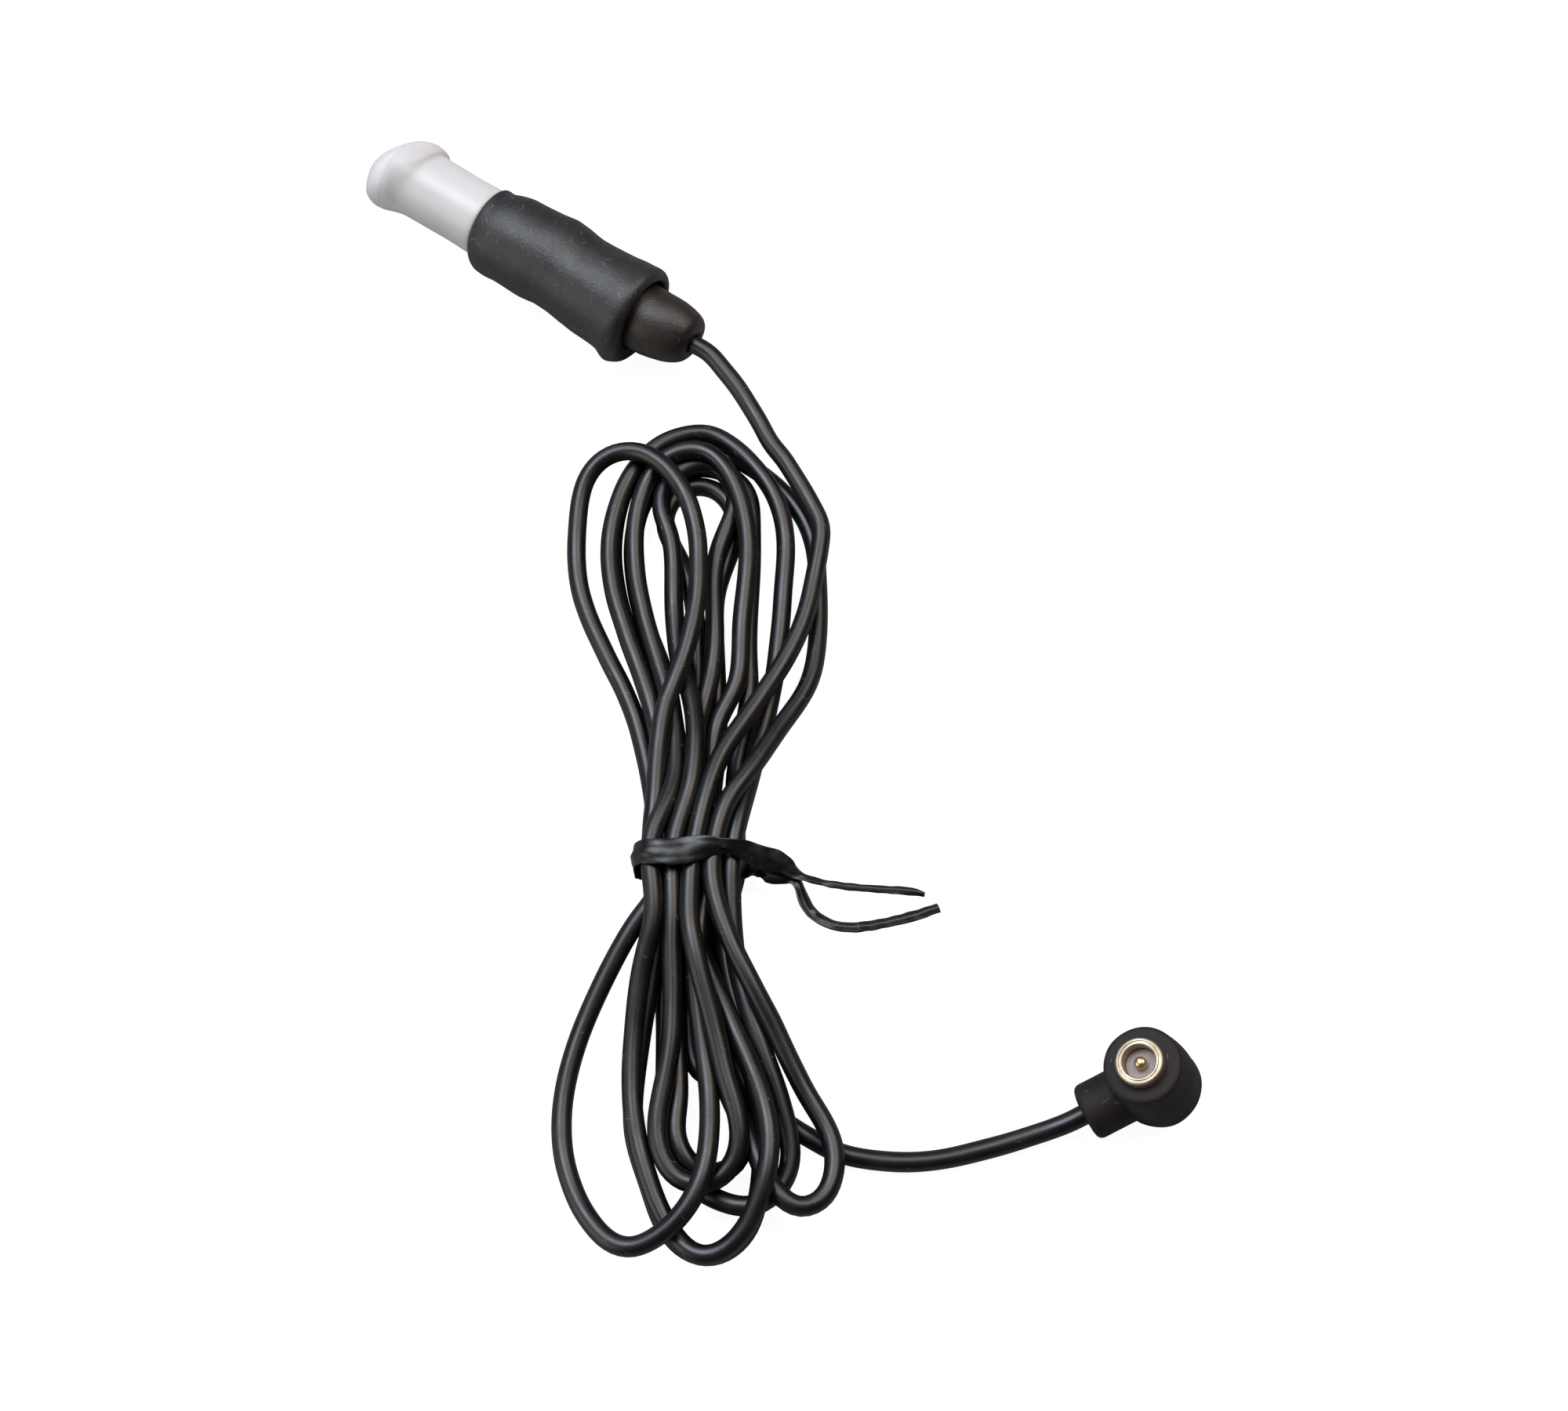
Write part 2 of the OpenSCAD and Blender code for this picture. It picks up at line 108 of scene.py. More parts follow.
def from_hank(points):
    """Points of the hank's frame (across, along, up) in the part's frame."""
    return np.asarray(points, float) @ HANK_FRAME.T + HANK_AT


def from_socket(points):
    """Points of the socket's frame, whose x runs along its axis from the grip's front, in the part's
    frame."""
    return np.asarray(points, float) + (GRIP_X, 0, AXIS_Z)


def from_plug(points):
    """Points of the plug's frame, whose z runs up its axis and x along its arm, in the part's
    frame."""
    return (np.asarray(points, float) - (0, 0, ARM_H)) @ PLUG_FRAME.T + PLUG_CROSS


def arm_point(reach):
    return PLUG_CROSS + reach * ARM_DIR


# ---- Lines and surfaces


def spaced(line, step):
    """The points at even steps along a line of straight pieces. Columns past the third ride along."""
    run = np.r_[0, np.cumsum(np.linalg.norm(np.diff(line[:, :3], axis=0), axis=1))]
    at = np.linspace(0, run[-1], int(round(run[-1] / step)) + 1)
    return np.stack([np.interp(at, run, line[:, k]) for k in range(line.shape[1])], 1)


def smooth_line(points, step):
    """A natural cubic spline through the points, whose knots lie apart by the square root of each
    chord, in even steps."""
    points = np.asarray(points, float)
    n = len(points)
    knots = np.r_[0, np.cumsum(np.sqrt(np.linalg.norm(np.diff(points[:, :3], axis=0), axis=1)))]
    h = np.diff(knots)
    system = np.eye(n)
    bend = np.zeros_like(points)
    k = np.arange(1, n - 1)
    system[k, k - 1], system[k, k], system[k, k + 1] = h[:-1], 2 * (h[:-1] + h[1:]), h[1:]
    slope = np.diff(points, axis=0) / h[:, None]
    bend[1:-1] = 6 * np.diff(slope, axis=0)
    curve = np.linalg.solve(system, bend)
    t = np.linspace(0, knots[-1], 40 * n)
    k = np.clip(np.searchsorted(knots, t, "right") - 1, 0, n - 2)
    a, b = ((knots[k + 1] - t) / h[k])[:, None], ((t - knots[k]) / h[k])[:, None]
    span = (h[k] ** 2 / 6)[:, None]
    line = a * points[k] + b * points[k + 1] + span * ((a**3 - a) * curve[k] + (b**3 - b) * curve[k + 1])
    return spaced(line, step)


def rounded(corners, step=0.25, arc=7):
    """A profile through corners (along, radius, rounding): each corner gives way to a quadratic arc
    that starts and ends at its rounding from the corner, and long straights are cut into steps."""
    corners = np.asarray(corners, float)
    t = np.linspace(0, 1, arc)[:, None]
    line = [corners[:1, :2]]
    for before, here, after in zip(corners, corners[1:], corners[2:]):
        p, r = here[:2], here[2]
        if r == 0:
            line.append(p[None])
            continue
        a = p + r * (before[:2] - p) / np.linalg.norm(before[:2] - p)
        b = p + r * (after[:2] - p) / np.linalg.norm(after[:2] - p)
        line.append((1 - t) ** 2 * a + 2 * t * (1 - t) * p + t**2 * b)
    line = np.vstack(line + [corners[-1:, :2]])
    pieces = []
    for a, b in zip(line, line[1:]):
        cuts = max(1, int(np.ceil(np.linalg.norm(b - a) / step)))
        pieces.append(a + (b - a) * np.arange(cuts)[:, None] / cuts)
    return np.vstack(pieces + [line[-1:]])


def turned(profile, sides=96, axis="x"):
    """The grid of a solid of revolution: each profile point (along, radius) is carried round the axis
    by a full circle of angles."""
    angle = TAU * np.arange(sides) / sides
    along, radius = profile[:, :1], profile[:, 1:]
    a, b = radius * np.cos(angle), radius * np.sin(angle)
    straight = np.broadcast_to(along, a.shape)
    return np.stack({"x": (straight, a, b), "z": (a, b, straight)}[axis], -1)


def tube(line, radius, sides=16):
    """The grid of a round tube: circles about each point of the line, in the plane across it, with
    closed ends."""
    along = np.gradient(line, axis=0)
    along /= np.linalg.norm(along, axis=1)[:, None]
    across = np.cross(along, (0, 0, 1))
    across /= np.linalg.norm(across, axis=1)[:, None]
    rise = np.cross(across, along)
    angle = TAU * np.arange(sides)[:, None] / sides
    radius = np.broadcast_to(radius, (len(line),))[:, None, None]
    ring = line[:, None] + radius * (np.cos(angle) * across[:, None] + np.sin(angle) * rise[:, None])
    return capped(ring)


def capped(rings):
    """The same rings with a pole added in the middle of the first and the last."""
    first, last = rings[0].mean(0), rings[-1].mean(0)
    pole = np.ones_like(rings[:1])
    return np.concatenate([pole * first, rings, pole * last])


def uneven(grid, amount, size, seed, waves=14):
    """The grid with a sum of plane waves of random direction added, each about size long, so that its
    surface is slightly irregular."""
    rng = np.random.default_rng(seed)
    direction = rng.normal(size=(waves, 3))
    direction *= (TAU / size / rng.uniform(0.7, 1.6, waves) / np.linalg.norm(direction, axis=1))[:, None]
    phase = rng.uniform(0, TAU, (waves, 3))
    push = np.sin((grid @ direction.T)[..., None] + phase).mean(-2)
    return grid + amount * push * math.sqrt(waves) / 1.5


def past(value, start, span):
    """How far a value has come past its start, as a share of the span, and held between 0 and 1."""
    return np.clip((value - start) / span, 0, 1)


def piece(name, grid, material, body="lead", closed_rows=False, sharp=38):
    """A mesh over a grid of points in millimetres. Cell (i, j) is the quad between rows i, i+1 and
    columns j, j+1, and the columns close into a ring. The UV map runs along the rows and round the
    columns."""
    rows, columns = grid.shape[:2]
    cells = rows if closed_rows else rows - 1
    i, j = np.meshgrid(np.arange(cells), np.arange(columns), indexing="ij")
    ahead, beside = (i + 1) % rows, (j + 1) % columns
    this, after = i * columns, ahead * columns
    corner = np.stack([this + j, this + beside, after + beside, after + j], -1)
    u = np.stack([i, i, i + 1, i + 1], -1) / rows
    v = np.stack([j, j + 1, j + 1, j], -1) / columns
    mesh = bpy.data.meshes.new(name)
    mesh.from_pydata((grid.reshape(-1, 3) * MM).tolist(), [], corner.reshape(-1, 4).tolist())
    unwrapped = np.stack([u, v], -1).astype(np.float32).ravel()
    mesh.uv_layers.new(name="along").uv.foreach_set("vector", unwrapped)
    return finished(name, mesh, material, body, sharp)


def finished(name, mesh, material, body, sharp):
    """Closes poles, turns faces outwards, and makes the mesh a smooth piece that rides on its body."""
    work = bmesh.new()
    work.from_mesh(mesh)
    bmesh.ops.remove_doubles(work, verts=work.verts, dist=2e-7)
    bmesh.ops.recalc_face_normals(work, faces=work.faces)
    work.to_mesh(mesh)
    work.free()
    mesh.shade_smooth()
    mesh.set_sharp_from_angle(angle=math.radians(sharp))
    mesh.materials.append(material)
    made = bpy.data.objects.new(name, mesh)
    scene.collection.objects.link(made)
    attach(made, body)
    return made


# ---- Materials

LINT_TONE = (0.42, 0.4, 0.42)
LINT_STRENGTH = 0.3
HEAD_BEGINS, HEAD_SOLID = 11.5, 13.5
WALL_ALPHA, EDGE_ALPHA, HEAD_ALPHA = 0.6, 0.35, 0.86


def add(tree, kind, inputs=(), **settings):
    """A new node with its settings, and with each named input set to a value or linked from a
    socket."""
    node = tree.nodes.new("ShaderNode" + kind)
    for key, value in settings.items():
        setattr(node, key, value)
    for key, value in dict(inputs).items():
        if isinstance(value, bpy.types.NodeSocket):
            tree.links.new(value, node.inputs[key])
        else:
            node.inputs[key].default_value = value
    return node


def calc(tree, operation, *values):
    return add(tree, "Math", dict(enumerate(values)), operation=operation).outputs[0]


def vector(tree, operation, *values):
    node = add(tree, "VectorMath", dict(enumerate(values)), operation=operation)
    return node.outputs["Value" if operation in ("LENGTH", "DOT_PRODUCT") else "Vector"]


def ramp(tree, value, low, high, to_low=0.0, to_high=1.0):
    """A value carried in a straight line from one range to another, and held at its ends."""
    span = {"From Min": low, "From Max": high, "To Min": to_low, "To Max": to_high}
    return add(tree, "MapRange", {"Value": value, **span}).outputs[0]


def blend(tree, factor, a, b):
    """A colour between a and b. The colour mix has its colours in its seventh and eighth sockets."""
    a, b = ((*c, 1) if isinstance(c, tuple) else c for c in (a, b))
    return add(tree, "Mix", {0: factor, 6: a, 7: b}, data_type="RGBA").outputs[2]


def group(name, inputs, outputs):
    """A shader node group with its sockets. Gives its tree, the sockets inside it that hold its inputs,
    and those that take its outputs."""
    tree = bpy.data.node_groups.new(name, "ShaderNodeTree")
    for label, kind, value in inputs:
        socket = tree.interface.new_socket(label, in_out="INPUT", socket_type="NodeSocket" + kind)
        if value is not None:
            socket.default_value = value
    for label in outputs:
        tree.interface.new_socket(label, in_out="OUTPUT", socket_type="NodeSocketFloat")
    return tree, tree.nodes.new("NodeGroupInput").outputs, tree.nodes.new("NodeGroupOutput").inputs


def use(tree, made, inputs):
    """The outputs of a node group placed in a material with its own values."""
    return add(tree, "Group", inputs, node_tree=made).outputs


def moulded_skin():
    """Slow changes of tone, and a height made of low lumps and fine grain. Scales are per metre."""
    tree, given, out = group(
        "moulded_skin",
        [
            ("Vector", "Vector", None),
            ("Lump scale", "Float", 250.0),
            ("Grain scale", "Float", 5000.0),
            ("Grain", "Float", 0.3),
        ],
        ["Tone", "Height"],
    )

    def noise(scale, detail):
        return add(tree, "TexNoise", {"Vector": given["Vector"], "Scale": scale, "Detail": detail}).outputs[0]

    lump = noise(given["Lump scale"], 3.0)
    fine = calc(tree, "MULTIPLY", noise(given["Grain scale"], 2.0), given["Grain"])
    tree.links.new(calc(tree, "ADD", lump, fine), out["Height"])
    tone = calc(tree, "MULTIPLY_ADD", fine, 0.5, lump)
    tree.links.new(ramp(tree, tone, 0.35, 0.8), out["Tone"])
    return tree


def lint():
    """Short pale fibres: each cell of space holds a stick of random direction, flattened onto the
    surface. A point is on it where it is close to the stick's line and not past its ends."""
    tree, given, out = group(
        "lint",
        [
            ("Vector", "Vector", None),
            ("Normal", "Vector", None),
            ("Scale", "Float", 620.0),
            ("Share", "Float", 0.4),
            ("Length", "Float", 0.0005),
        ],
        ["Mask"],
    )
    sway = add(tree, "TexNoise", {"Vector": given["Vector"], "Scale": 1500.0, "Detail": 0.0}).outputs
    curl = vector(tree, "MULTIPLY", sway["Color"], (0.0003, 0.0003, 0.0003))
    bent = vector(tree, "ADD", given["Vector"], curl)
    cell = add(tree, "TexVoronoi", {"Vector": bent, "Scale": given["Scale"]})
    chance = add(tree, "SeparateColor", {"Color": cell.outputs["Color"]}).outputs

    def flat(v):
        high = vector(tree, "DOT_PRODUCT", v, given["Normal"])
        lift = add(tree, "VectorMath", {0: given["Normal"], "Scale": high}, operation="SCALE").outputs[0]
        return vector(tree, "SUBTRACT", v, lift)

    chosen = vector(tree, "SUBTRACT", cell.outputs["Color"], (0.5, 0.5, 0.5))
    stick = vector(tree, "NORMALIZE", flat(chosen))
    spot = flat(vector(tree, "SUBTRACT", bent, cell.outputs["Position"]))
    aside = vector(tree, "LENGTH", vector(tree, "CROSS_PRODUCT", spot, stick))
    along = calc(tree, "ABSOLUTE", vector(tree, "DOT_PRODUCT", spot, stick))
    inside = calc(tree, "LESS_THAN", along, calc(tree, "MULTIPLY", chance[2], given["Length"]))
    some = calc(tree, "LESS_THAN", chance[0], given["Share"])
    thin = ramp(tree, aside, 0.00001, 0.00005, 1.0, 0.0)
    tree.links.new(calc(tree, "MULTIPLY", thin, calc(tree, "MULTIPLY", inside, some)), out["Mask"])
    return tree


MOULDED_SKIN = moulded_skin()
LINT = lint()


def blank(name):
    """A new material: itself, its tree, its Principled shader's inputs, and the object and normal
    coordinates."""
    material = bpy.data.materials.new(name)
    material.use_nodes = True
    tree = material.node_tree
    place = add(tree, "TexCoord").outputs
    return material, tree, tree.nodes["Principled BSDF"].inputs, place["Object"], place["Normal"]


def skinned(name, lump, grain, tones, gloss, bump):
    """A material with a moulded skin. The skin's tone blends two colours and two values of roughness.
    The grain is given as scale and amount, and the bump as strength and depth."""
    material, tree, shader, place, normal = blank(name)
    given = {"Vector": place, "Lump scale": lump, "Grain scale": grain[0], "Grain": grain[1]}
    skin = use(tree, MOULDED_SKIN, given)
    tone = blend(tree, skin["Tone"], *tones)
    tree.links.new(tone, shader["Base Color"])
    tree.links.new(ramp(tree, skin["Tone"], 0.0, 1.0, *gloss), shader["Roughness"])
    raised = {"Height": skin["Height"], "Strength": bump[0], "Distance": bump[1]}
    tree.links.new(add(tree, "Bump", raised).outputs[0], shader["Normal"])
    return material, tree, shader, place, normal, tone


def moulded(name, lump, grain, tones, gloss, bump, fibres, specular):
    """Black moulded rubber or vinyl: two near tones, uneven gloss, a lumpy and grainy skin, and lint."""
    material, tree, shader, place, normal, tone = skinned(name, lump, grain, tones, gloss, bump)
    mask = use(tree, LINT, {"Vector": place, "Normal": normal, "Share": fibres})["Mask"]
    faint = calc(tree, "MULTIPLY", mask, LINT_STRENGTH)
    tree.links.new(blend(tree, faint, tone, LINT_TONE), shader["Base Color"])
    shader["Specular IOR Level"].default_value = specular
    return material


def plated(name, tones, gloss):
    """Turned and plated metal: faint tarnish, uneven gloss and fine marks."""
    material, _, shader, *_ = skinned(name, 500.0, (9000.0, 0.15), tones, gloss, (0.1, 0.00002))
    shader["Metallic"].default_value = 1
    return material


def insulating(name, tones, gloss):
    """Moulded insulator: two near tones and a fine grain."""
    return skinned(name, 700.0, (6000.0, 0.4), tones, gloss, (0.2, 0.00005))[0]


def milky(name, tones):
    """Soft translucent cap: a clearer tube that thickens into its closed head, a lighter grazing edge
    and faint flow marks."""
    made = skinned(name, 180.0, (2500.0, 0.25), tones, (0.38, 0.38), (0.2, 0.0001))
    material, tree, shader, place = made[:4]
    along = add(tree, "SeparateXYZ", {"Vector": place}).outputs[0]
    head = ramp(tree, along, (GRIP_X - HEAD_BEGINS) * MM, (GRIP_X - HEAD_SOLID) * MM, 0.0, HEAD_ALPHA)
    edge = add(tree, "LayerWeight", {"Blend": 0.35}).outputs["Facing"]
    wall = calc(tree, "MULTIPLY_ADD", edge, EDGE_ALPHA, WALL_ALPHA)
    tree.links.new(calc(tree, "MAXIMUM", wall, head), shader["Alpha"])
    shader["Subsurface Weight"].default_value = 0.25
    shader["Subsurface Scale"].default_value = 0.001
    return material


cord_vinyl = moulded(
    "cord_vinyl",
    lump=260.0,
    grain=(5200.0, 0.1),
    tones=((0.002, 0.002, 0.003), (0.007, 0.0058, 0.0056)),
    gloss=(0.34, 0.46),
    bump=(0.25, 0.00005),
    fibres=0.16,
    specular=0.7,
)
grip_rubber = moulded(
    "grip_rubber",
    lump=260.0,
    grain=(3200.0, 1.1),
    tones=((0.005, 0.0045, 0.0048), (0.015, 0.013, 0.0135)),
    gloss=(0.4, 0.52),
    bump=(0.7, 0.00006),
    fibres=0.65,
    specular=0.8,
)
boss_vinyl = moulded(
    "boss_vinyl",
    lump=320.0,
    grain=(3000.0, 1.0),
    tones=((0.004, 0.0035, 0.0037), (0.018, 0.011, 0.008)),
    gloss=(0.38, 0.5),
    bump=(0.7, 0.00005),
    fibres=0.5,
    specular=0.7,
)
plug_vinyl = moulded(
    "plug_vinyl",
    lump=350.0,
    grain=(3400.0, 1.1),
    tones=((0.005, 0.005, 0.0075), (0.02, 0.016, 0.0135)),
    gloss=(0.48, 0.62),
    bump=(0.7, 0.00005),
    fibres=0.55,
    specular=0.28,
)
tie_plastic = moulded(
    "tie_plastic",
    lump=900.0,
    grain=(6000.0, 0.3),
    tones=((0.002, 0.002, 0.0026), (0.008, 0.0075, 0.008)),
    gloss=(0.3, 0.42),
    bump=(0.4, 0.00006),
    fibres=0.15,
    specular=0.6,
)
nickel = plated("warm_nickel", ((0.6, 0.52, 0.39), (0.46, 0.38, 0.27)), (0.42, 0.62))
gold = plated("gold_contact", ((0.8, 0.66, 0.38), (0.62, 0.48, 0.24)), (0.25, 0.4))
barrel_nickel = plated("barrel_nickel", ((0.9, 0.86, 0.78), (0.84, 0.78, 0.68)), (0.36, 0.46))
insulator = insulating("disc_insulator", ((0.3, 0.24, 0.235), (0.4, 0.33, 0.32)), (0.4, 0.52))
core_white = insulating("core_white", ((0.72, 0.69, 0.62), (0.8, 0.78, 0.72)), (0.45, 0.57))
cap_milky = milky("milky_polyethylene", ((0.88, 0.865, 0.885), (0.92, 0.905, 0.9)))

for made, names in {
    barrel_nickel: ["socket_barrel"],
    nickel: [
        "socket_spigot", "socket_ground_lug", "socket_ferrule",
        "plug_ring", "plug_ground_lug", "plug_ferrule",
    ],
    gold: ["centre_contact", "plug_pin"],
    insulator: ["plug_disc", "socket_bush"],
    core_white: ["spigot_liner", "socket_core_wire", "plug_core_wire"],
}.items():
    for name in names:
        nodes[name].data.materials.clear()
        nodes[name].data.materials.append(made)

# ---- The cord: its route, how it settles, and its tube

# The two free ends repeat the routes in the part's source.
LEAD_IN = [
    (GRIP_X + FERRULE_X + CRIMP_L + 0.1, 0, AXIS_Z),
    (EXIT_X, 0, AXIS_Z),
    (25, 0.1, 6.05),
    (26.5, -0.1, 5.9),
    (28.1, -0.6, 5.7),
    (30.5, -1.4, 5.4),
    (35.2, -3.65, 5.1),
    (38.5, -5.45, 5.1),
    (40.4, -6.1, 5.2),
]
LEAD_OUT = [
    (88.3, -71.2, 1.1),
    (90.8, -70.75, 1.1),
    (95.1, -68.9, 1.1),
    (100, -65.5, 1.1),
    (103.9, -61.45, 1.2),
    (107, -57.85, 1.6),
    arm_point(ARM_REACH + 2),
    arm_point(ARM_REACH),
    arm_point(PLUG_FERRULE_X + CRIMP_L + 0.1),
]
# The hank in its own frame (across, along, up). Each row but the first starts in the tie, at along = 0.
HANK = [
    [(13.7, 42.2, 5.6), (14.4, 39.4, 5.6), (13.4, 32.5, 6), (11.3, 25.2, 6.4), (5.9, 15.7, 6.6),
     (2.2, 9.2, 6.5)],
    [(0.1, 0, 6.3), (-0.3, -7.3, 5.8), (0.4, -12.1, 5.3), (2.7, -20.4, 4.8), (4.2, -26, 4.4),
     (5.5, -31, 4), (4.3, -34.8, 3.4), (1.2, -36.3, 3.1), (-1.9, -34.8, 3.2), (-3.2, -31, 3.4),
     (-2.7, -26.5, 3.7), (-1.9, -20.3, 4.4), (-2.2, -12, 4.9), (-2.3, -7.2, 5.6)],
    [(-2.1, 0, 6.3), (-0.4, 5.8, 6), (0.3, 12.6, 5), (-0.6, 19.1, 4.2), (-1.7, 22.6, 3.8),
     (-2.7, 31.1, 3.6), (-3.2, 39, 3.6), (-4.4, 43.3, 3.7), (-3.2, 47.2, 3.8), (0.2, 49, 4),
     (3.3, 47.4, 4), (4.3, 43.6, 3.8), (2.7, 38.5, 3.8), (1.9, 33, 3.8), (2.2, 26.4, 4), (1.6, 19.6, 4),
     (0.4, 13.4, 4), (0.7, 5.5, 4.3)],
    [(2.4, 0, 4.2), (1.3, -7.2, 4.5), (0.7, -12.2, 5.2), (1, -17.8, 4.8), (2.1, -26.2, 4.8),
     (2.2, -33, 5.8), (0.2, -39, 6), (-5.8, -43, 4.6), (-10.3, -40, 3.8), (-13.3, -33.1, 3.4),
     (-13.3, -25, 3.6), (-10.3, -16.1, 4), (-5.6, -7.9, 4.5), (-3.5, -4.4, 4.6)],
    [(-4.4, 0, 4.2), (-4.1, 6.8, 5), (-3.4, 15.3, 6.4), (-2.4, 19, 6.8), (-0.4, 26.4, 7),
     (0.2, 34.6, 6.8), (-0.8, 41.6, 6.8), (-4.5, 47.6, 6.4), (-9.1, 49.6, 5.2), (-13, 47.2, 3.8),
     (-14.3, 40.4, 3.2), (-13.8, 33.4, 3), (-10.7, 25.4, 3), (-7.5, 18.7, 3.2), (-5.6, 12.8, 3.2),
     (-4.1, 5, 2)],
    [(-4.4, 0, 1.9), (-3.3, -12, 1.9), (-2.7, -22.4, 1.6), (-1.8, -31.8, 1.6), (1.2, -36.2, 2),
     (5.2, -38.2, 5.2), (8.3, -37.6, 1.1), (10.4, -34.4, 3.4), (10.1, -30.1, 3), (7.8, -23.6, 3),
     (4.9, -13.4, 3.6), (4.4, -4.7, 5.2)],
    [(4.6, 0, 6.3), (5.5, 4.9, 6.1), (6.8, 11.3, 4.8), (8.2, 17.6, 4.2), (9.3, 24.4, 4.2),
     (10, 32.8, 4.2), (10.2, 39.7, 4.6), (8.3, 46, 4.8), (3.4, 51.7, 4.6), (-0.1, 53, 4.4),
     (-4.9, 51.3, 4), (-8.8, 45.8, 3.6), (-10.3, 38.1, 3.6), (-9.1, 30.1, 3.6), (-5.4, 19.3, 3.6),
     (-3.9, 12.1, 3.9), (-2.9, 4.2, 5.2)],
    [(-2.1, 0, 4.2), (-4, -12.2, 2.6), (-5.7, -22.4, 1.6), (-6, -30, 1.1), (-4.2, -36.1, 1.1),
     (-1.7, -41.4, 1.1), (2.1, -43.4, 1.1), (5.9, -41.2, 1.1), (7.6, -35.1, 1.1), (7.2, -26.5, 2.4),
     (5.1, -17.6, 3), (3.5, -8, 3.7)],
    [(4.6, 0, 4.2), (4.5, 4.7, 4.2), (4.9, 12.3, 3.2), (6, 19, 3.2), (5.9, 26.6, 3.2),
     (6.1, 34.3, 3.2), (6, 41, 3.4), (5.3, 46, 3.4), (3.2, 48.5, 2.4), (0.5, 49.5, 2),
     (-4.7, 47.6, 1.4), (-7.6, 40.8, 1.2), (-6.6, 30.7, 1.2), (-3.8, 22.3, 1.8), (-2, 13.9, 2.8),
     (0.4, 5.1, 4.2)],
    [(0.1, 0, 4.2), (-1.3, -12.4, 3.2), (-1.5, -21.8, 2.6), (-1.5, -27.2, 1.8), (-1.7, -31, 1.6),
     (-0.3, -34, 1.6), (2.4, -35.2, 1.6), (5.1, -33.8, 1.6), (6.2, -30, 1.7), (4.9, -25.2, 1.9),
     (1, -22.9, 2), (-0.2, -12, 2), (0, -6.7, 2.1)],
    [(2.4, 0, 1.9), (2, 5.4, 2.1), (2.4, 13.6, 2.4), (2.2, 21, 2.6), (1.9, 27.5, 2.6), (2.2, 33, 2.6),
     (3.8, 38, 2.6), (4.6, 42.3, 2.6), (2.4, 46.3, 2.6), (-1.6, 46.6, 2.6), (-4, 42.6, 2.6),
     (-2.5, 38, 2.2), (-0.6, 32.6, 2), (0.1, 26, 1.9), (0.3, 20, 1.8), (0, 13, 1.8), (0.1, 5.4, 1.9)],
    [(0.1, 0, 1.9), (1.3, -6.6, 2.9), (2.1, -17.4, 2.2), (4.3, -27, 3), (6.7, -32.3, 2.2),
     (8.3, -36.2, 3), (11.3, -38.9, 4.7), (14, -38, 4.7), (15.3, -34.8, 4.4), (14.8, -31, 4),
     (12.3, -26.6, 4), (9.5, -21.1, 4.4), (6.5, -15.6, 5.2), (3.7, -9.8, 5.7), (2.1, -4, 6.4)],
    [(2.4, 0, 6.3), (4, 5, 5.9), (6.8, 9.5, 5.1), (9.9, 15.1, 4.6), (12.8, 20.5, 4.2), (14, 27.5, 3.8),
     (14, 34.6, 3.6), (13, 41.2, 3), (8.9, 47.2, 2.6), (2.7, 51.1, 2.2), (-3.6, 51.3, 1.8),
     (-6.7, 49.8, 1.6), (-8.7, 47, 1.4), (-10.1, 38.3, 1.2), (-8.2, 28.7, 1.2), (-5.1, 20.2, 1.5),
     (-3.3, 11.4, 2), (-2.8, 7.6, 2.1)],
    [(-2.1, 0, 1.9), (-0.2, -6.7, 3.1), (3.5, -16.4, 3.4), (6.6, -23.9, 4.4), (8.5, -30.8, 8),
     (7.9, -37.3, 4), (5.4, -42, 4), (1.9, -43.8, 3.2), (-1.5, -41.4, 3.4), (-5.2, -32.7, 4),
     (-6.2, -23.9, 4.4), (-4.8, -12.9, 5), (-3.5, -6.8, 5.7)],
    [(-4.4, 0, 6.3), (-2.6, 5.9, 5.7), (-2.3, 13.1, 4.8), (-3.6, 20.3, 4.6), (-5.7, 27.7, 4.6),
     (-7.3, 36.1, 4.6), (-6.8, 43.9, 5), (-3.8, 48.9, 5.4), (0.9, 49.3, 5.4), (4.7, 43.9, 5.4),
     (5.9, 35.8, 5.2), (5.2, 28.1, 4.8), (4.4, 20.8, 4.6), (1.8, 15.2, 4.2), (1.3, 8.5, 3.3),
     (1.7, 5.1, 2.8)],
    [(4.6, 0, 1.9), (3.2, -6.6, 1.6), (3.4, -17.1, 1.3), (5, -25.1, 1.1), (9, -29.1, 1.1)],
]
ROUTE_STEP = 1.5
TUBE_STEP = 0.7
# The room inside the tie, across and up, for the middle of the cord, and half its length.
WAIST_LEFT, WAIST_RIGHT, WAIST_TOP, WAIST_HALF = -4.55, 4.75, 7.5, 2.6
# Half the width of the tie's strip under the hank, which lifts the cord there.
STRIP_HALF = 2
# The pull towards the route and the stiffness, across, along and up, the pull that holds the free ends,
# and the cord's weight.
ROUTE_PULL = (0.4, 0.4, 0.04)
STIFFNESS = (250, 250, 96)
END_PULL = 50.0
WEIGHT = 0.06
# Points closer than this along the cord may touch. Others count as a pair within a cord's thickness and
# this much more.
NEXT_ALONG = 5
PAIR_REACH = 0.9
FAR = 99.0


